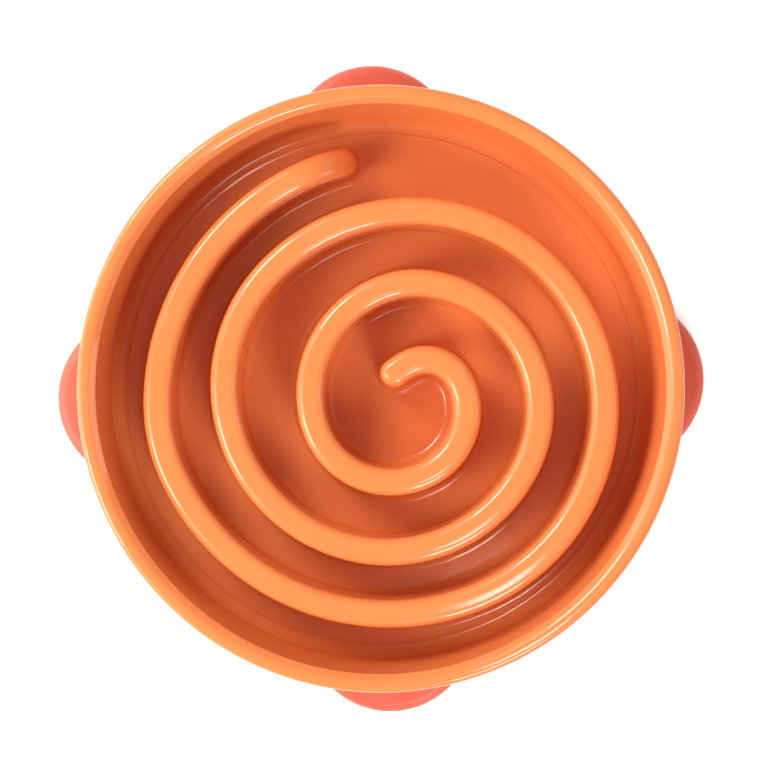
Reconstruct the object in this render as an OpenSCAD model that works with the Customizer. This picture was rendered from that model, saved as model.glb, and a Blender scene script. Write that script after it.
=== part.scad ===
// Slow feeder bowl: a round bowl whose floor carries one long spiral ridge.
// The bowl is a single thin-walled moulding, open underneath, that stands on four rubber feet.
// The origin is at the middle of the underside, on the surface that the feet stand on.

/* [Well] */
// Radius of the floor, out to where the well's side starts
well_r = 124; // [112:1:136]
// Depth of the well, from the rim's crown down to the floor
well_depth = 48; // [44:1:56]
// Lean of the well's side from upright, in degrees
side_lean = 4.7; // [3:0.1:6]
// Fillet between the floor and the well's side
well_fillet = 5; // [3:0.5:7]
// Height of the floor above the surface that the bowl stands on
floor_h = 12; // [11:0.5:16]
// Distance of the floor's thin bead from the foot of the well's side
bead_inset = 6.4; // [5.5:0.1:7]
// Width of the bead
bead_w = 1.6; // [1.2:0.1:2]
// Height of the bead
bead_h = 0.3; // [0.2:0.05:0.5]

/* [Shell] */
// Thickness of the moulding
wall = 2.5; // [2:0.1:3]
// Width of the rim, from its crease to its outer edge
rim_w = 8.2; // [8:0.1:9.5]
// Rounding of the rim's outer edge
rim_round = 3; // [2.6:0.2:3.2]
// Rounding of the rim's crease
crease_round = 0.8; // [0.4:0.1:1.2]
// Slope of the rim where it leaves its crease, from level, in degrees
rim_slope = 38; // [34:1:40]
// Rounding by which that slope turns level at the rim's crown
crown_round = 7.5; // [6:0.5:7.5]
// Lean of the skirt from upright, in degrees
skirt_lean = 2; // [1:0.5:3]
// Height of the skirt's lower edge above the surface
skirt_gap = 3; // [2:0.5:4]

/* [Ridge] */
// Height of the ridge above the floor
ridge_h = 36; // [30:1:40]
// Width of the ridge across its top
ridge_w = 12.2; // [11:0.2:13]
// Lean of the ridge's sides from upright, in degrees
ridge_lean = 2; // [1:0.5:3]
// Rounding along the ridge's upper edges
ridge_round = 3.6; // [3:0.2:4]
// Fillet along the foot of the ridge
ridge_fillet = 3; // [2:0.5:4]
// Radius of the long curve down which the ridge's outer end falls to the floor
nose_r = 33.5; // [32:0.5:34]

/* [Feet] */
// How far a foot stands out past the rim
foot_out = 14; // [12:1:18]
// Radius of a foot's rounded outline
foot_r = 39; // [34:1:44]
// Height of a foot, at the middle of its outline
foot_h = 12; // [11:0.5:14]
// Fall of a foot's top face towards its edge
foot_fall = 3; // [2:0.5:4]
// Rounding of a foot's upper edge
foot_round = 5; // [3:0.5:6]
// Rounding of a foot's lower edge
sole_round = 1.5; // [1:0.5:2]
// Thickness of the lip that grips the skirt from inside
lip_w = 4; // [3:0.5:5]
// Height of that lip
lip_h = 9; // [8:0.5:10]
// Diameter of the pegs that lock a foot to the skirt
peg_d = 4; // [3:0.5:5]
// Height of the pegs' middle
peg_h = 6; // [5.5:0.5:6.5]
// Angle from a foot's middle to each of its pegs, in degrees
peg_turn = 6; // [4:1:8]
// Gap left around the skirt and the pegs
fit_gap = 0.1; // [0.05:0.05:0.2]

/* [Hidden] */
$fn = 96;
// Steps in each rounded corner of an outline
corner_steps = 4;
// Overrun of a cut past the face that it opens
overrun = 1;
// How far the ridge's fillet runs out below the floor's face
fillet_sink = 0.1;
// Finest step of a coarse move, used to set the bends end to end
move_step = 0.001;

// The spiral ridge follows a chain of bends from its outer end to its inner end.
// Each bend's radius is a share of the floor's radius, and each turns left by its sweep in degrees.
bend_shares = [
    0.925, 0.605, 0.87, 0.745, 0.69, 0.72, 0.605, 0.56,
    0.46, 0.33, 0.41, 0.295, 0.255, 0.14, 0.515
];
bend_sweeps = [74, 24, 85, 100, 50, 56, 128, 74, 111, 22, 83, 107, 84, 100, 5];
// The first bend's centre, as shares of the floor's radius
first_centre_shares = [0.1075, -0.0625];
// Heading at the outer end
first_heading = 193.5;
// How much of the first bend the outer end's long curve takes up before it meets the ridge's top
nose_sweep = 12.7;
// How far that curve's wheel would rise past the ridge's top, as a share of its radius
nose_lift_share = 0.009;

rim_h = floor_h + well_depth;
crown_reach = crown_round * tan(rim_slope / 2);
slope_run = crown_reach + crease_round / 2;
crease_h = rim_h - slope_run * sin(rim_slope);
ridge_top = floor_h + ridge_h;
root_h = floor_h - fillet_sink;
under_h = floor_h - wall;

function side_r(z) = well_r + (z - floor_h) * tan(side_lean);
rim_r = side_r(crease_h) + rim_w;
function skirt_r(z) = rim_r + (rim_h - z) * tan(skirt_lean);
skirt_wall = wall / cos(skirt_lean);
side_wall = wall / cos(side_lean);
function ridge_half(z) = ridge_w / 2 + (ridge_top - z) * tan(ridge_lean);

// A corner [x, y, radius] between its neighbours, as the points of its arc
function corner(p, a, b) =
    let(u = unit(flat(a) - flat(p)), v = unit(flat(b) - flat(p)), half = acos(u * v) / 2)
    p[2] == 0 ? [flat(p)] :
    let(
        centre = flat(p) + unit(u + v) * p[2] / sin(half),
        from = flat(p) + u * p[2] / tan(half) - centre,
        to = flat(p) + v * p[2] / tan(half) - centre,
        start = atan2(from[1], from[0]),
        turn = atan2(from[0] * to[1] - from[1] * to[0], from * to)
    )
    [for (k = [0:corner_steps]) let(t = start + turn * k / corner_steps) centre + p[2] * [cos(t), sin(t)]];
function flat(p) = [p[0], p[1]];
function unit(v) = v / norm(v);
// A closed outline of such corners, with each one rounded
function rounded(v) =
    let(n = len(v)) [for (i = [0:n - 1]) each corner(v[i], v[(i + n - 1) % n], v[(i + 1) % n])];
function mirrored(half) =
    concat(half, [for (k = [len(half) - 1:-1:0]) [-half[k][0], half[k][1], half[k][2]]]);

// The route's headings, centres and ends, bend by bend
function left(a) = [-sin(a), cos(a)];
function bend_r(i) = bend_shares[i] * well_r;
function heading(i) = i == 0 ? first_heading : heading(i - 1) + bend_sweeps[i - 1];
function bend_centre(i) =
    i == 0 ? first_centre_shares * well_r
    : bend_centre(i - 1) + (bend_r(i) - bend_r(i - 1)) * left(heading(i));
function route_point(i, turn) = bend_centre(i) - bend_r(i) * left(heading(i) + turn);
last_bend = len(bend_shares) - 1;
function coarse(v) = [for (x = v) round(x / move_step) * move_step];

// Moves in two steps, a coarse one and the small rest, so that one bend's end is the next one's start
module place(v) {
    rest = v - coarse(v);
    translate(coarse(v)) translate(rest) children();
}

// Carries an upright outline along one bend of the route
module bend(i, outline) {
    place(bend_centre(i))
        rotate_extrude(angle = bend_sweeps[i], start = (heading(i) - 90) % 360)
            translate([bend_r(i), 0])
                polygon(rounded(outline));
}

// The upright round end that closes the route at a point, bulging the way it faces
module round_end(point, facing, outline) {
    place(point)
        rotate_extrude(angle = 180, start = (facing + 270) % 360)
            intersection() {
                polygon(rounded(outline));
                translate([0, -rim_h])
                    square([well_r, 2 * rim_h]);
            }
}

// Shapes the outer end like the rim of a wheel that stands across it, with its axle under the crest
module sloped(wheel_r) {
    difference() {
        children();
        place(route_point(0, nose_sweep))
            rotate([0, 0, first_heading + nose_sweep + 180])
                translate([0, 0, ridge_top + nose_lift_share * nose_r - nose_r])
                    difference() {
                        translate([0, -rim_h, 0])
                            cube([rim_h, 2 * rim_h, rim_h]);
                        rotate([90, 0, 0])
                            cylinder(r = wheel_r, h = 3 * rim_h, center = true);
                    }
    }
}

// The ridge, or its hollow: every bend and both ends, with the outer one sloped
module spiral(outline, wheel_r) {
    end_turn = bend_sweeps[last_bend];
    sloped(wheel_r)
        union() {
            bend(0, outline);
            round_end(route_point(0, 0), first_heading + 180, outline);
        }
    for (i = [1:last_bend])
        bend(i, outline);
    round_end(route_point(last_bend, end_turn), heading(last_bend) + end_turn, outline);
}

module ridge() {
    half = [
        [ridge_half(ridge_top), ridge_top, ridge_round],
        [ridge_half(root_h), root_h, ridge_fillet],
        [ridge_half(root_h) + 2 * ridge_fillet, root_h, 0],
        [ridge_half(root_h) + 2 * ridge_fillet, floor_h - wall / 2, 0]
    ];
    spiral(mirrored(half), nose_r);
}

module ridge_hollow() {
    top = ridge_top - wall;
    bottom = under_h - overrun;
    inset = wall / cos(ridge_lean);
    half = [
        [ridge_half(top) - inset, top, 0],
        [ridge_half(bottom) - inset, bottom, 0]
    ];
    spiral(mirrored(half), nose_r - wall);
}

// The moulding without its ridge: floor, well side, rim and skirt in one outline
module shell() {
    bead_r = well_r - bead_inset;
    outline = [
        [0, floor_h, 0],
        [bead_r - bead_w / 2, floor_h, 0],
        [bead_r - bead_w / 2 + bead_h, floor_h + bead_h, 0],
        [bead_r + bead_w / 2 - bead_h, floor_h + bead_h, 0],
        [bead_r + bead_w / 2, floor_h, 0],
        [well_r, floor_h, well_fillet],
        [side_r(crease_h), crease_h, crease_round],
        [side_r(crease_h) + slope_run * cos(rim_slope), rim_h, crown_round],
        [rim_r, rim_h, rim_round],
        [skirt_r(skirt_gap), skirt_gap, 0],
        [skirt_r(skirt_gap) - skirt_wall, skirt_gap, 0],
        [skirt_r(rim_h - wall) - skirt_wall, rim_h - wall, rim_round - wall],
        [side_r(crease_h - wall) + side_wall, rim_h - wall, 0],
        [side_r(under_h) + side_wall, under_h, well_fillet + wall],
        [0, under_h, 0]
    ];
    rotate_extrude()
        polygon(rounded(outline));
}

// The two pegs of a foot, or the holes that they fill, through the skirt on the right
module pegs(d, from, to) {
    for (turn = [-peg_turn, peg_turn])
        rotate([0, 0, turn])
            translate([from, 0, peg_h])
                rotate([0, 90, 0])
                    cylinder(d = d, h = to - from);
}

module bowl() {
    color("#f7954a")
        difference() {
            union() {
                shell();
                ridge();
            }
            ridge_hollow();
            for (turn = [0:90:270])
                rotate([0, 0, turn])
                    pegs(peg_d, skirt_r(peg_h) - skirt_wall - overrun, skirt_r(peg_h) + overrun);
        }
}

// One foot, on the right: a lobe outside the skirt, a sole under its edge and a lip behind it
module foot() {
    lip_r = skirt_r(0) - skirt_wall - lip_w;
    lobe = [
        [0, 0, 0],
        [foot_r, 0, sole_round],
        [foot_r, foot_h - foot_fall, foot_round],
        [0, foot_h, 0]
    ];
    groove = [
        [skirt_r(skirt_gap) - skirt_wall - fit_gap, skirt_gap, 0],
        [skirt_r(skirt_gap) + fit_gap, skirt_gap, 0],
        [skirt_r(rim_h) + fit_gap, rim_h, 0],
        [skirt_r(rim_h) - skirt_wall - fit_gap, rim_h, 0]
    ];
    color("#e86a58") {
        difference() {
            translate([rim_r + foot_out - foot_r, 0, 0])
                rotate_extrude()
                    polygon(rounded(lobe));
            rotate_extrude()
                polygon(rounded(groove));
            translate([0, 0, -overrun])
                cylinder(r = lip_r, h = rim_h);
            translate([0, 0, lip_h])
                cylinder(r = skirt_r(lip_h) - skirt_wall, h = rim_h);
        }
        pegs(peg_d - 2 * fit_gap, lip_r + lip_w / 2, skirt_r(peg_h) + lip_w / 2);
    }
}

module foot_right() foot();
module foot_back() rotate([0, 0, 90]) foot();
module foot_left() rotate([0, 0, 180]) foot();
module foot_front() rotate([0, 0, 270]) foot();

bowl();
foot_right();
foot_back();
foot_left();
foot_front();
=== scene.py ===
import math

import bmesh
import bpy
import numpy as np
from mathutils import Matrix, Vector
from mathutils.geometry import delaunay_2d_cdt


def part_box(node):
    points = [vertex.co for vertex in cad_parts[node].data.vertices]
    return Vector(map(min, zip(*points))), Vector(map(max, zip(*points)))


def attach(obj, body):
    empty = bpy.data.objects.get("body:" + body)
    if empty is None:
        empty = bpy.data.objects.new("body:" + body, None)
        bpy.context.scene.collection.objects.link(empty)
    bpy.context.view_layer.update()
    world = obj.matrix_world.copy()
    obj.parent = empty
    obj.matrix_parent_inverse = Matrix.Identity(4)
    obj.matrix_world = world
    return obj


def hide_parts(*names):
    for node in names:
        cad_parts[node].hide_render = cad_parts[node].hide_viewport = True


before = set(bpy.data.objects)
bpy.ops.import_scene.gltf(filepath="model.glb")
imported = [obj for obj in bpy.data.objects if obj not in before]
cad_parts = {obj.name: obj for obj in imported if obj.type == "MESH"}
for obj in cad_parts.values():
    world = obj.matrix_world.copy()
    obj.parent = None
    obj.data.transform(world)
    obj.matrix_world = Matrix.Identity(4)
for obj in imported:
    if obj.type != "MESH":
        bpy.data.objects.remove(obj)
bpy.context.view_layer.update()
mm = 0.001  # every size below is in millimetres, and becomes metres when its mesh is made
print("frame loaded with", len(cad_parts), "nodes")


# Camera: straight above the bowl, on its axis
view = {
    "imageSide": 765,  # px
    "axisPixel": (380.9, 388.7),  # px, where the bowl's axis meets the picture
    "rimPixels": 304.4,  # px, the rim's radius
    "rimRadius": 136,
    "height": 1460,  # above the surface that the bowl stands on
    "roll": 2.2,  # degrees
    "sensor": 36.0,
}


def addCamera(v):
    # Focal length in px: the rim's radius in px, times its distance from the camera, over its real radius
    focalPixels = v["rimPixels"] * (v["height"] - bowl["rimHeight"]) / v["rimRadius"]
    data = bpy.data.cameras.new("camera")
    data.sensor_width = v["sensor"]
    data.lens = focalPixels * v["sensor"] / v["imageSide"]
    data.shift_x = (v["imageSide"] / 2 - v["axisPixel"][0]) / v["imageSide"]
    data.shift_y = (v["axisPixel"][1] - v["imageSide"] / 2) / v["imageSide"]
    camera = bpy.data.objects.new("camera", data)
    camera.location = (0, 0, v["height"] * mm)
    camera.rotation_euler = (0, 0, -math.radians(v["roll"]))
    bpy.context.scene.collection.objects.link(camera)
    bpy.context.scene.camera = camera


# Mesh building

def unit(v):
    return np.asarray(v, float) / np.linalg.norm(v)


def roundedPath(corners, stepDegrees):
    # Each corner (x, y, radius) gives way to the arc that touches both of its sides, in steps of about
    # stepDegrees; the two ends stay sharp
    path = [np.array([corners[0][:2]], float)]
    for before, here, after in zip(corners, corners[1:], corners[2:]):
        p = np.array(here[:2], float)
        if here[2] == 0:
            path.append(p[None])
            continue
        u, v = unit(np.array(before[:2]) - p), unit(np.array(after[:2]) - p)
        half = math.acos(u @ v) / 2
        centre = p + unit(u + v) * here[2] / math.sin(half)
        a = p + u * here[2] / math.tan(half) - centre
        b = p + v * here[2] / math.tan(half) - centre
        turn = math.atan2(a[0] * b[1] - a[1] * b[0], a @ b)
        t = np.linspace(0, turn, max(2, math.ceil(abs(math.degrees(turn)) / stepDegrees)) + 1)
        path.append(centre + np.outer(np.cos(t), a) + np.outer(np.sin(t), [-a[1], a[0]]))
    path.append(np.array([corners[-1][:2]], float))
    return np.vstack(path)


def revolved(path, count):
    # Point (r, z) of the path goes to (r cos t, r sin t, z) at each of count even angles t
    t = np.arange(count) * 2 * math.pi / count
    r, z = path[:, 0, None], path[:, 1, None]
    return np.stack([r * np.cos(t), r * np.sin(t), z + 0 * t], -1)


def newPatchwork():
    return {"points": [], "faces": [], "count": 0}


def addPoints(work, points):
    # Adds an array of points and gives back their numbers, in the array's own shape
    shape = points.shape[:-1]
    size = int(np.prod(shape))
    ids = work["count"] + np.arange(size).reshape(shape)
    work["points"].append(points.reshape(-1, 3))
    work["count"] += size
    return ids


def weave(work, rows):
    # Four-sided faces between neighbouring closed rows, and a triangle where one end of a face has shrunk
    # to a point
    a, b = rows[:-1], rows[1:]
    quads = np.stack([a, np.roll(a, -1, 1), np.roll(b, -1, 1), b], -1).reshape(-1, 4)
    pinchedA, pinchedB = quads[:, 0] == quads[:, 1], quads[:, 2] == quads[:, 3]
    work["faces"] += quads[~pinchedA & ~pinchedB].tolist()
    work["faces"] += quads[pinchedA][:, [0, 2, 3]].tolist()
    work["faces"] += quads[pinchedB & ~pinchedA][:, [0, 1, 2]].tolist()


def fillFlat(work, outerIds, innerIds, axisPoints, reach, spacing):
    # Level floor between a closed outer ring and a closed inner loop: a Delaunay mesh of both outlines and
    # of a triangular grid of points between them, less the triangles that lie within reach of the loop's
    # middle line
    points = np.vstack(work["points"])
    outer, inner = points[outerIds], points[innerIds]
    radius, level = np.hypot(*outer[0, :2]), outer[0, 2]
    lines = np.arange(-radius, radius, spacing * math.sqrt(3) / 2)
    x, y = np.meshgrid(np.arange(-radius, radius, spacing), lines)
    x[1::2] += spacing / 2
    grid = np.stack([x.ravel(), y.ravel()], -1)
    grid = grid[np.hypot(*grid.T) < radius - spacing / 2]
    grid = grid[distanceTo(axisPoints, grid) > reach + spacing / 2]
    flat = np.vstack([outer[:, :2], inner[:, :2], grid])
    outlines = ((0, len(outer)), (len(outer), len(inner)))
    closed = [(start + i, start + (i + 1) % n) for start, n in outlines for i in range(n)]
    corners = [Vector(p) for p in flat.tolist()]
    made, _, faces, origins, _, _ = delaunay_2d_cdt(corners, closed, [], 0, 1e-7)
    gridIds = addPoints(work, np.column_stack([grid, np.full(len(grid), level)]))
    ids = np.concatenate([outerIds, innerIds, gridIds])
    own = ids[[o[0] for o in origins]]
    made, faces = np.array([tuple(p) for p in made]), np.array(faces)
    kept = distanceTo(axisPoints, made[faces].mean(1)) > reach
    work["faces"] += own[faces[kept]].tolist()


def distanceTo(line, points):
    # Least distance of each point from a chain of straight pieces, a few hundred points at a time
    a, b = line[:-1], line[1:]
    along = b - a
    nearest = np.empty(len(points))
    for block in np.array_split(np.arange(len(points)), max(1, len(points) // 400)):
        p = points[block, None]
        t = np.clip(((p - a) * along).sum(-1) / (along * along).sum(-1), 0, 1)
        nearest[block] = np.linalg.norm(p - a - t[..., None] * along, axis=-1).min(1)
    return nearest


def addPiece(work, name, sharpDegrees=40):
    mesh = bpy.data.meshes.new(name)
    mesh.from_pydata((np.vstack(work["points"]) * mm).tolist(), [], work["faces"])
    outward(mesh)
    mesh.set_sharp_from_angle(angle=math.radians(sharpDegrees))
    piece = bpy.data.objects.new(name, mesh)
    bpy.context.scene.collection.objects.link(piece)
    return piece


def outward(mesh):
    # Turns every face to point outwards and shades it smooth
    b = bmesh.new()
    b.from_mesh(mesh)
    bmesh.ops.recalc_face_normals(b, faces=b.faces)
    b.to_mesh(mesh)
    b.free()
    mesh.polygons.foreach_set("use_smooth", np.ones(len(mesh.polygons), bool))


# Bowl: one moulding, made as rings about its axis and loops about its spiral ridge
bowlLow, bowlHigh = (np.array(corner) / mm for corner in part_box("bowl"))
bowl = {
    "rimHeight": bowlHigh[2],
    "skirtFoot": bowlHigh[0],  # radius of the skirt's lower edge
    "skirtGap": bowlLow[2],  # height of that edge
    "skirtLean": 2,  # degrees
    "wellRadius": 124,
    "floorHeight": 12,
    "sideLean": 4.7,  # degrees
    "wellFillet": 5,
    "wall": 2.5,
    "rimSlope": 38,  # degrees from level, where the rim leaves its crease
    "slopeRun": 4.1,  # length of that slope, before its rounding
    "crownRound": 4,  # by which the slope turns level
    "rimRound": 2.6,
    "creaseRound": 0.8,
    "edgeRound": 0.6,
    "beadInset": 6.4,
    "beadWidth": 1.6,
    "beadHeight": 0.45,
    "undersideRadius": 117,  # out to here the underside is one level face
    "ringPoints": 240,
    "shownStep": 6,  # degrees between the points of a rounded edge that shows
    "hiddenStep": 15,
    "floorSpacing": 4,  # between the points of the level floor
    "undersideSpacing": 6,
}
ridge = {
    "height": 36,
    "width": 12.2,
    "lean": 2,  # degrees
    "crownHalf": 2.5,  # half the width of the gentle crown along its top
    "crownRadius": 80,
    "fillet": 3,
    "footMargin": 0.8,  # level strip round its fillet
    # The radius of each bend, from the outer end inwards, as a share of the well's, and its sweep in degrees
    "bendShares": (
        0.925, 0.605, 0.87, 0.745, 0.69, 0.72, 0.605, 0.56, 0.46, 0.33, 0.41, 0.295, 0.255, 0.14, 0.515),
    "bendSweeps": (74, 24, 85, 100, 50, 56, 128, 74, 111, 22, 83, 107, 84, 100, 5),
    "firstCentreShares": (0.1075, -0.0625),  # place of the first bend's centre, in the same shares
    "firstHeading": 193.5,  # degrees
    "easing": 8,  # how long one bend takes to pass into the next
    "noseRadius": 33.5,  # of the long curve down which the outer end falls
    "noseStart": 25.4,  # distance along the ridge where that curve leaves its top
    "noseStep": 1,
    "stepLength": 2.7,
    "stepDegrees": 3.4,
    "capPoints": 18,  # round each end
    "fineStep": 0.2,  # of the walk that adds up the path
    "overrun": 40,  # how far that walk goes past both ends
    "hollowRound": 1,
}


def rimAndSkirtPath(b):
    # From the floor's bead out over the side, rim and skirt, and back under them to the underside
    tanSide, tanSkirt = (math.tan(math.radians(b[k])) for k in ("sideLean", "skirtLean"))
    under = b["floorHeight"] - b["wall"]
    side = lambda z: b["wellRadius"] + (z - b["floorHeight"]) * tanSide
    skirt = lambda z: b["skirtFoot"] - (z - b["skirtGap"]) * tanSkirt
    slope = math.radians(b["rimSlope"])
    run = b["slopeRun"]
    crease, inner = b["rimHeight"] - run * math.sin(slope), b["rimHeight"] - b["wall"]
    beadMiddle = b["wellRadius"] - b["beadInset"]
    # The bead's height is a raised cosine across its width
    swell = np.linspace(-1, 1, 9)
    bead = np.stack([
        beadMiddle + swell * b["beadWidth"] / 2,
        b["floorHeight"] + b["beadHeight"] * (1 + np.cos(swell * math.pi)) / 2], -1)
    middle = (skirt(b["rimHeight"] / 2), b["rimHeight"] / 2, 0)
    shown = [
        (bead[-1][0] + b["beadWidth"] / 4, b["floorHeight"], 0),
        (side(b["floorHeight"]), b["floorHeight"], b["wellFillet"]),
        (side(crease), crease, b["creaseRound"]),
        (side(crease) + run * math.cos(slope), b["rimHeight"], b["crownRound"]),
        (skirt(b["rimHeight"]), b["rimHeight"], b["rimRound"]),
        middle,
    ]
    hidden = [
        middle,
        (skirt(b["skirtGap"]), b["skirtGap"], b["edgeRound"]),
        (skirt(b["skirtGap"]) - b["wall"], b["skirtGap"], b["edgeRound"]),
        (skirt(inner) - b["wall"], inner, 0),
        (side(crease - b["wall"]) + b["wall"], inner, b["edgeRound"]),
        (side(under) + b["wall"], under, b["wellFillet"] + b["wall"]),
        (b["undersideRadius"], under, 0),
    ]
    return np.vstack([bead, roundedPath(shown, b["shownStep"]), roundedPath(hidden, b["hiddenStep"])[1:]])


def ridgeRoute(r):
    # The heading grows evenly along each bend, its changes of pace are eased by a moving average, and short
    # steps along that heading add up to the path. Gives a function from distance to place, forward direction
    # and left-hand normal, and the distances at which the ridge's points stand.
    radii = np.array(r["bendShares"]) * bowl["wellRadius"]
    sweeps = np.radians(r["bendSweeps"])
    ends = np.concatenate([[0], np.cumsum(radii * sweeps)])
    headings = math.radians(r["firstHeading"]) + np.concatenate([[0], np.cumsum(sweeps)])
    step, margin = r["fineStep"], r["overrun"]
    window = np.hanning(2 * round(r["easing"] / step) + 3)
    half = len(window) // 2
    wide = np.arange(-margin / step - half, (ends[-1] + margin) / step + half + 1) * step
    heading = np.interp(wide, ends, headings)
    heading += np.minimum(wide, 0) / radii[0] + np.maximum(wide - ends[-1], 0) / radii[-1]
    heading = np.convolve(heading, window / window.sum(), "valid")
    distance = wide[half:-half]
    middle = (heading[1:] + heading[:-1]) / 2
    walk = np.vstack([[0, 0], np.cumsum(np.stack([np.cos(middle), np.sin(middle)], -1), 0) * step])
    first = headings[0]
    centre = np.array(r["firstCentreShares"]) * bowl["wellRadius"]
    start = centre + radii[0] * np.array([math.sin(first), -math.cos(first)])
    walk += start - walk[np.argmin(abs(distance))]

    def at(s):
        place = np.stack([np.interp(s, distance, walk[:, 0]), np.interp(s, distance, walk[:, 1])], -1)
        angle = np.interp(s, distance, heading)
        forward = np.stack([np.cos(angle), np.sin(angle)], -1)
        normal = np.stack([-np.sin(angle), np.cos(angle)], -1)
        return place, forward, normal

    # Points stand closer together where the path bends more: even steps of distance and heading together
    measure = distance / r["stepLength"] + np.degrees(heading) / r["stepDegrees"]
    nose = np.arange(0, r["noseStart"], r["noseStep"])
    first, last = np.interp([r["noseStart"], ends[-1]], distance, measure)
    body = np.interp(np.linspace(first, last, int(last - first) + 1), measure, distance)
    return at, np.concatenate([nose, body])


def ridgeSection(r):
    # Offsets and heights of the rows from the crown's side down to the floor, and the height where the
    # fillet starts. At tilt t the crown has offset R sin t and drop R (1 - cos t), with the crown's R and
    # then the rounded edge's.
    top, lean = bowl["floorHeight"] + r["height"], math.radians(r["lean"])
    half, steep = r["width"] / 2, math.pi / 2 - lean
    joint = math.asin(r["crownHalf"] / r["crownRadius"])
    edge = (half - r["crownHalf"]) / (math.sin(steep) - math.sin(joint))
    tilt = np.concatenate([joint * np.linspace(0, 1, 5)[1:], np.linspace(joint, steep, 13)[1:]])
    small, large = np.minimum(tilt, joint), np.maximum(tilt, joint)
    offset = r["crownRadius"] * np.sin(small) + edge * (np.sin(large) - math.sin(joint))
    height = top - r["crownRadius"] * (1 - np.cos(small)) - edge * (math.cos(joint) - np.cos(large))
    offset += (top - height) * math.tan(lean)
    # The fillet turns back from the side's slope to level
    centreZ = bowl["floorHeight"] + r["fillet"]
    filletTop = centreZ - r["fillet"] * math.cos(steep)
    footOffset = half + (top - filletTop) * math.tan(lean)
    back = np.linspace(steep, 0, 8)
    share = np.linspace(0, 1, 8)[1:-1]
    sideOffset = offset[-1] + (footOffset - offset[-1]) * share
    sideHeight = height[-1] + (filletTop - height[-1]) * share
    filletOffset = footOffset + r["fillet"] * (math.sin(steep) - np.sin(back))
    filletHeight = centreZ - r["fillet"] * np.cos(back)
    offsets = np.concatenate([offset, sideOffset, filletOffset, filletOffset[-1:] + r["footMargin"]])
    heights = np.concatenate([height, sideHeight, filletHeight, filletHeight[-1:]])
    return offsets, heights, filletTop


def ridgeLoops(r, at, samples, offset, height):
    # Each row of the section runs round the whole ridge: along its left side, round the inner end, back along
    # its right side and round the outer end. Gives the rows, and how far along the ridge each point stands.
    d = offset[:, None]
    place, forward, normal = at(samples)
    turn = np.linspace(0, math.pi, r["capPoints"] + 2)[1:-1]
    cosTurn, sinTurn = np.cos(turn)[None, :, None], np.sin(turn)[None, :, None]
    innerCap = place[-1] + d[..., None] * (cosTurn * normal[-1] + sinTurn * forward[-1])
    outerCap = place[0] - d[..., None] * (cosTurn * normal[0] + sinTurn * forward[0])
    sideways = d[..., None] * normal
    plan = np.concatenate([place + sideways, innerCap, (place - sideways)[:, ::-1], outerCap], 1)
    beyond = d * np.sin(turn)
    along = np.concatenate([samples + 0 * d, samples[-1] + beyond, samples[::-1] + 0 * d, -beyond], 1)
    return np.dstack([plan, height[:, None] + 0 * along]), along


def nosed(r, radius, pivot, along, z):
    # Heights over the pivot shrink to the share sqrt(1 - (x / radius)^2), at x before the nose's start
    x = np.clip((r["noseStart"] - along) / radius, 0, 1)
    return np.where(z > pivot, pivot + (z - pivot) * np.sqrt(1 - x ** 2), z)


def addRidge(work, at, samples, offset, height, pivot, top, radius):
    # The ridge's surface: loops of rows, closed along the crown by the middle line that they all follow
    loops, along = ridgeLoops(ridge, at, samples, offset, height)
    loops[..., 2] = nosed(ridge, radius, pivot, along, loops[..., 2])
    spine = at(samples)[0]
    spineHeight = nosed(ridge, radius, pivot, samples, top + 0 * samples)
    spineIds = addPoints(work, np.column_stack([spine, spineHeight]))
    n, cap = len(samples), ridge["capPoints"]
    around = np.concatenate([np.arange(n), np.full(cap, n - 1), np.arange(n)[::-1], np.zeros(cap, int)])
    rows = addPoints(work, loops)
    weave(work, np.vstack([spineIds[around][None], rows]))
    return rows[-1], spine


def makeBowl():
    work = newPatchwork()
    rings = addPoints(work, revolved(rimAndSkirtPath(bowl), bowl["ringPoints"]))
    weave(work, rings)
    at, samples = ridgeRoute(ridge)
    top = bowl["floorHeight"] + ridge["height"]
    offset, height, pivot = ridgeSection(ridge)
    foot, line = addRidge(work, at, samples, offset, height, pivot, top, ridge["noseRadius"])
    fillFlat(work, rings[0], foot, line, offset[-1], bowl["floorSpacing"])

    # The ridge is hollow from below, a wall's thickness inside its own faces
    under, hollowTop = bowl["floorHeight"] - bowl["wall"], top - bowl["wall"]
    inset = bowl["wall"] / math.cos(math.radians(ridge["lean"]))
    inner = lambda z: ridge["width"] / 2 + (top - z) * math.tan(math.radians(ridge["lean"])) - inset
    sparser = np.append(samples[:-1:2], samples[-1])
    path = roundedPath([
        (0, hollowTop, 0),
        (inner(hollowTop) / 2, hollowTop, 0),
        (inner(hollowTop), hollowTop, ridge["hollowRound"]),
        (inner(pivot), pivot, 0),
        (inner(under), under, 0),
    ], 3 * bowl["hiddenStep"])[1:]
    noseRadius = ridge["noseRadius"] - bowl["wall"]
    mouth, line = addRidge(work, at, sparser, path[:, 0], path[:, 1], pivot, hollowTop, noseRadius)
    fillFlat(work, rings[-1], mouth, line, path[-1, 0], bowl["undersideSpacing"])
    return addPiece(work, "bowlMoulding")


# Feet: a lobe outside the skirt, a sole under its edge and a lip behind it, all one rubber piece
foot = {
    "out": 14,  # past the rim
    "radius": 39,
    "height": 12,
    "fall": 3,  # of the lobe's top, from its middle to its edge
    "round": 5,
    "soleRound": 1.5,
    "lip": 4,  # how far it reaches in behind the skirt
    "lipHeight": 9,
    "gap": 0.1,
    "cutBelow": 5,  # how far the cutters reach past the sole
    "roundStep": 7,  # degrees
    "lobePoints": 240,
    "cutPoints": 360,
    "mergeDistance": 0.01,
}


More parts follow.
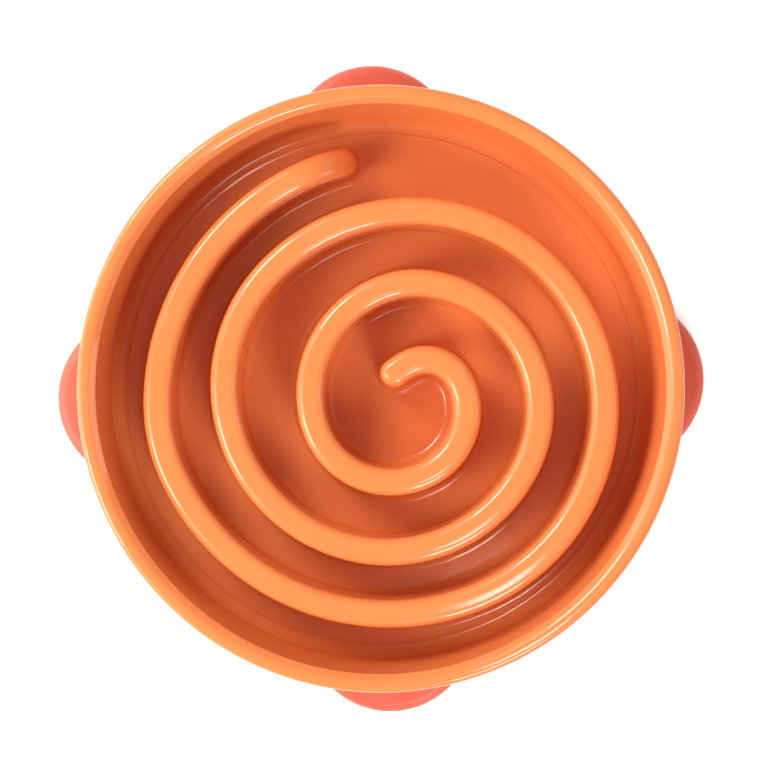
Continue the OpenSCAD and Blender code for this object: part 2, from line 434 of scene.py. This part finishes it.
def revolvedSolid(name, path, count, centreX=0):
    # A closed solid of revolution; the path starts and ends on its axis, where a row becomes one point
    work = newPatchwork()
    points = revolved(path, count) + np.array([centreX, 0, 0])
    rows = addPoints(work, points)
    rows[0], rows[-1] = rows[0, 0], rows[-1, 0]
    weave(work, rows)
    used = np.unique(rows)
    renumber = np.zeros(work["count"], int)
    renumber[used] = np.arange(len(used))
    work["points"] = [np.vstack(work["points"])[used]]
    work["faces"] = [[int(renumber[i]) for i in face] for face in work["faces"]]
    return addPiece(work, name)


def carve(body, cutters, mergeDistance):
    # The body's mesh less every cutter; the body and the cutters are then removed
    for cutter in cutters:
        boolean = body.modifiers.new("cut", "BOOLEAN")
        boolean.operation, boolean.solver, boolean.object = "DIFFERENCE", "EXACT", cutter
    bpy.context.view_layer.update()
    mesh = bpy.data.meshes.new_from_object(body.evaluated_get(bpy.context.evaluated_depsgraph_get()))
    for used in [body, *cutters]:
        bpy.data.objects.remove(used)
    mergeClose(mesh, mergeDistance)
    return mesh


def mergeClose(mesh, distance):
    # Joins points that the cuts left this close together, and removes the faces that vanish between them
    b = bmesh.new()
    b.from_mesh(mesh)
    bmesh.ops.remove_doubles(b, verts=b.verts, dist=distance * mm)
    bmesh.ops.dissolve_degenerate(b, edges=b.edges, dist=distance * mm)
    b.to_mesh(mesh)
    b.free()


def makeFeet(b, f):
    tanSkirt = math.tan(math.radians(b["skirtLean"]))
    skirt = lambda z: b["skirtFoot"] - (z - b["skirtGap"]) * tanSkirt
    centre = skirt(b["rimHeight"]) + f["out"] - f["radius"]
    lipRadius = skirt(0) - b["wall"] - f["lip"]
    high, low, lip = b["rimHeight"], -f["cutBelow"], f["lipHeight"]
    outside = lambda z: (skirt(z) + f["gap"], z)
    inside = lambda z: (skirt(z) - b["wall"] - f["gap"], z)
    lobe = revolvedSolid("lobe", roundedPath([
        (0, f["height"], 0),
        (f["radius"], f["height"] - f["fall"], f["round"]),
        (f["radius"], 0, f["soleRound"]),
        (0, 0, 0),
    ], f["roundStep"]), f["lobePoints"], centre)
    skirtRing = ringCutter("skirtRing", [
        inside(b["skirtGap"]), outside(b["skirtGap"]), outside(high), inside(high)], f["cutPoints"])
    core = revolvedSolid("core", np.array([
        (0, high), (lipRadius, high), (lipRadius, low), (0, low)], float), f["cutPoints"])
    aboveRadius = skirt(lip) - b["wall"]
    above = revolvedSolid("above", np.array([
        (0, high), (aboveRadius, high), (aboveRadius, lip), (0, lip)], float), f["cutPoints"])
    mesh = carve(lobe, [skirtRing, core, above], f["mergeDistance"])
    points = np.empty(len(mesh.vertices) * 3)
    mesh.vertices.foreach_get("co", points)
    pieces = []
    for quarter, side in enumerate(("Right", "Back", "Left", "Front")):
        turn = quarter * math.pi / 2
        c, s = round(math.cos(turn)), round(math.sin(turn))
        turned = points.reshape(-1, 3) @ np.array([[c, s, 0], [-s, c, 0], [0, 0, 1]])
        own = mesh.copy()
        own.vertices.foreach_set("co", turned.ravel())
        own.update()
        outward(own)
        own.set_sharp_from_angle(angle=math.radians(35))
        piece = bpy.data.objects.new("foot" + side, own)
        bpy.context.scene.collection.objects.link(piece)
        pieces.append(piece)
    bpy.data.meshes.remove(mesh)
    return pieces


def ringCutter(name, outline, count):
    work = newPatchwork()
    rows = addPoints(work, revolved(np.array(outline, float), count))
    weave(work, np.vstack([rows, rows[:1]]))
    return addPiece(work, name)


# Materials
plastic = {
    "colour": (0.765, 0.205, 0.058),
    "paler": (0.785, 0.22, 0.064),
    "roughness": (0.06, 0.095),  # shifts between these two
    "toneSize": 45,  # of the patches where the colour shifts
    "glossSize": 18,
    "peel": 0.6,  # size of the skin's faint ripple
    "peelStrength": 0.25,
    "peelDepth": 0.02,
    "refraction": 1.49,
    "translucency": 0.08,
    "glowShares": (1.0, 0.3, 0.1),  # of the depth to which red, green and blue light travel inside
    "glowDepth": 2.5,
}
rubber = {
    "colour": (0.68, 0.093, 0.046),
    "paler": (0.72, 0.11, 0.058),
    "roughness": (0.42, 0.52),
    "toneSize": 20,
    "glossSize": 9,
    "grain": 0.35,
    "grainStrength": 0.3,
    "grainDepth": 0.03,
    "refraction": 1.5,
}


def newMaterial(name):
    material = bpy.data.materials.new(name)
    material.use_nodes = True
    tree = material.node_tree
    shader = tree.nodes["Principled BSDF"]
    place = tree.nodes.new("ShaderNodeTexCoord").outputs["Object"]
    return material, tree, shader, place


def noise(tree, place, size, detail=2):
    # Noise whose lumps are about size millimetres across
    node = tree.nodes.new("ShaderNodeTexNoise")
    node.inputs["Scale"].default_value = 1 / (size * mm)
    node.inputs["Detail"].default_value = detail
    tree.links.new(place, node.inputs["Vector"])
    return node.outputs["Fac"]


def spread(tree, value, low, high):
    # Maps the middle of a noise's range to low..high
    node = tree.nodes.new("ShaderNodeMapRange")
    for socket, number in (("From Min", 0.3), ("From Max", 0.7), ("To Min", low), ("To Max", high)):
        node.inputs[socket].default_value = number
    tree.links.new(value, node.inputs["Value"])
    return node.outputs["Result"]


def mixed(tree, factor, first, second):
    node = tree.nodes.new("ShaderNodeMix")
    node.data_type = "RGBA"
    tree.links.new(factor, node.inputs["Factor"])
    node.inputs["A"].default_value = (*first, 1)
    node.inputs["B"].default_value = (*second, 1)
    return node.outputs["Result"]


def bumped(tree, shader, height, strength, depth):
    node = tree.nodes.new("ShaderNodeBump")
    node.inputs["Strength"].default_value = strength
    node.inputs["Distance"].default_value = depth * mm
    tree.links.new(height, node.inputs["Height"])
    tree.links.new(node.outputs["Normal"], shader.inputs["Normal"])


def plasticMaterial(p):
    material, tree, shader, place = newMaterial("orangePlastic")
    tone = mixed(tree, spread(tree, noise(tree, place, p["toneSize"]), 0, 1), p["colour"], p["paler"])
    tree.links.new(tone, shader.inputs["Base Color"])
    gloss = spread(tree, noise(tree, place, p["glossSize"], 4), *p["roughness"])
    tree.links.new(gloss, shader.inputs["Roughness"])
    shader.inputs["IOR"].default_value = p["refraction"]
    shader.inputs["Subsurface Weight"].default_value = p["translucency"]
    shader.inputs["Subsurface Radius"].default_value = p["glowShares"]
    shader.inputs["Subsurface Scale"].default_value = p["glowDepth"] * mm
    bumped(tree, shader, noise(tree, place, p["peel"]), p["peelStrength"], p["peelDepth"])
    return material


def rubberMaterial(p):
    material, tree, shader, place = newMaterial("coralRubber")
    tone = mixed(tree, spread(tree, noise(tree, place, p["toneSize"]), 0, 1), p["colour"], p["paler"])
    tree.links.new(tone, shader.inputs["Base Color"])
    gloss = spread(tree, noise(tree, place, p["glossSize"], 4), *p["roughness"])
    tree.links.new(gloss, shader.inputs["Roughness"])
    shader.inputs["IOR"].default_value = p["refraction"]
    bumped(tree, shader, noise(tree, place, p["grain"], 3), p["grainStrength"], p["grainDepth"])
    return material


# Studio: a plain white floor, pale surroundings and soft boxes
studio = {
    "floorSide": 6000,
    "floorColour": (0.93, 0.93, 0.93),
    "darkerShare": 0.985,
    "shadeSize": 300,
    "floorRoughness": 0.75,
    "floorGlow": 0.38,
    "skyTop": 0.25,
    "skyHorizon": 0.7,
    "skyFall": 3,
    "aim": (0, 0, 35),
}
softBoxes = [
    # name, azimuth and zenith angle in degrees, distance, width, height, watts
    ("upperLeftBox", 134, 48, 1500, 420, 400, 8.5),
    ("upperLeftPanel", 134, 48, 2200, 1400, 1400, 16),
    ("leftBox", 199, 48, 1500, 420, 400, 7),
    ("leftPanel", 199, 48, 2200, 1400, 1400, 17),
    ("lowerRightBox", 292, 48, 1500, 420, 400, 8.5),
    ("lowerRightPanel", 292, 48, 2200, 1400, 1400, 7),
    ("lowLeftPanel", 178, 70, 2200, 2600, 1400, 23),
    ("rightPanel", 2, 62, 2000, 900, 700, 4),
    ("smallLamp", 298, 10.3, 1440, 80, 100, 0.42),
]


def addSky(s):
    # Where a direction's height is z, the brightness is top + (horizon - top) (1 - |z|)^fall
    world = bpy.data.worlds.new("paleRoom")
    world.use_nodes = True
    tree = world.node_tree
    background = tree.nodes["Background"]
    background.inputs["Color"].default_value = (1, 1, 1, 1)
    axes = tree.nodes.new("ShaderNodeSeparateXYZ")
    tree.links.new(tree.nodes.new("ShaderNodeTexCoord").outputs["Generated"], axes.inputs["Vector"])
    value = axes.outputs["Z"]
    steps = (("ABSOLUTE", None), ("SUBTRACT", 1), ("ABSOLUTE", None), ("POWER", s["skyFall"]),
             ("MULTIPLY", s["skyHorizon"] - s["skyTop"]), ("ADD", s["skyTop"]))
    for operation, number in steps:
        node = tree.nodes.new("ShaderNodeMath")
        node.operation = operation
        tree.links.new(value, node.inputs[0])
        if number is not None:
            node.inputs[1].default_value = number
        value = node.outputs["Value"]
    tree.links.new(value, background.inputs["Strength"])
    bpy.context.scene.world = world


def addFloor(s):
    half = s["floorSide"] / 2 * mm
    mesh = bpy.data.meshes.new("floor")
    corners = [(-half, -half, 0), (half, -half, 0), (half, half, 0), (-half, half, 0)]
    mesh.from_pydata(corners, [], [(0, 1, 2, 3)])
    floor = bpy.data.objects.new("floor", mesh)
    bpy.context.scene.collection.objects.link(floor)
    material, tree, shader, place = newMaterial("palePaper")
    shade = spread(tree, noise(tree, place, s["shadeSize"]), 0, 1)
    darker = tuple(s["darkerShare"] * c for c in s["floorColour"])
    tree.links.new(mixed(tree, shade, darker, s["floorColour"]), shader.inputs["Base Color"])
    shader.inputs["Roughness"].default_value = s["floorRoughness"]
    shader.inputs["Emission Color"].default_value = (1, 1, 1, 1)
    shader.inputs["Emission Strength"].default_value = s["floorGlow"]
    mesh.materials.append(material)


def addSoftBox(name, azimuth, zenith, distance, width, height, watts):
    a, z = math.radians(azimuth), math.radians(zenith)
    aim = Vector(studio["aim"]) * mm
    out = Vector((math.cos(a) * math.sin(z), math.sin(a) * math.sin(z), math.cos(z)))
    data = bpy.data.lights.new(name, "AREA")
    data.shape, data.size, data.size_y, data.energy = "RECTANGLE", width * mm, height * mm, watts
    box = bpy.data.objects.new(name, data)
    box.location = aim + out * distance * mm
    box.rotation_euler = (-out).to_track_quat("-Z", "Y").to_euler()
    bpy.context.scene.collection.objects.link(box)


addCamera(view)
addSky(studio)
addFloor(studio)
for softBox in softBoxes:
    addSoftBox(*softBox)
bpy.context.scene.view_settings.view_transform = "Standard"
print("camera, floor and", len(softBoxes), "soft boxes placed")

moulding = makeBowl()
moulding.data.materials.append(plasticMaterial(plastic))
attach(moulding, "root")
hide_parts("bowl")
triangles = sum(len(face.vertices) - 2 for face in moulding.data.polygons)
print("bowl moulded with", triangles, "triangles")

footRubber = rubberMaterial(rubber)
footNodes = ("foot_right", "foot_back", "foot_left", "foot_front")
for piece, node in zip(makeFeet(bowl, foot), footNodes):
    piece.data.materials.clear()
    piece.data.materials.append(footRubber)
    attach(piece, "root")
    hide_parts(node)
print("four feet made")
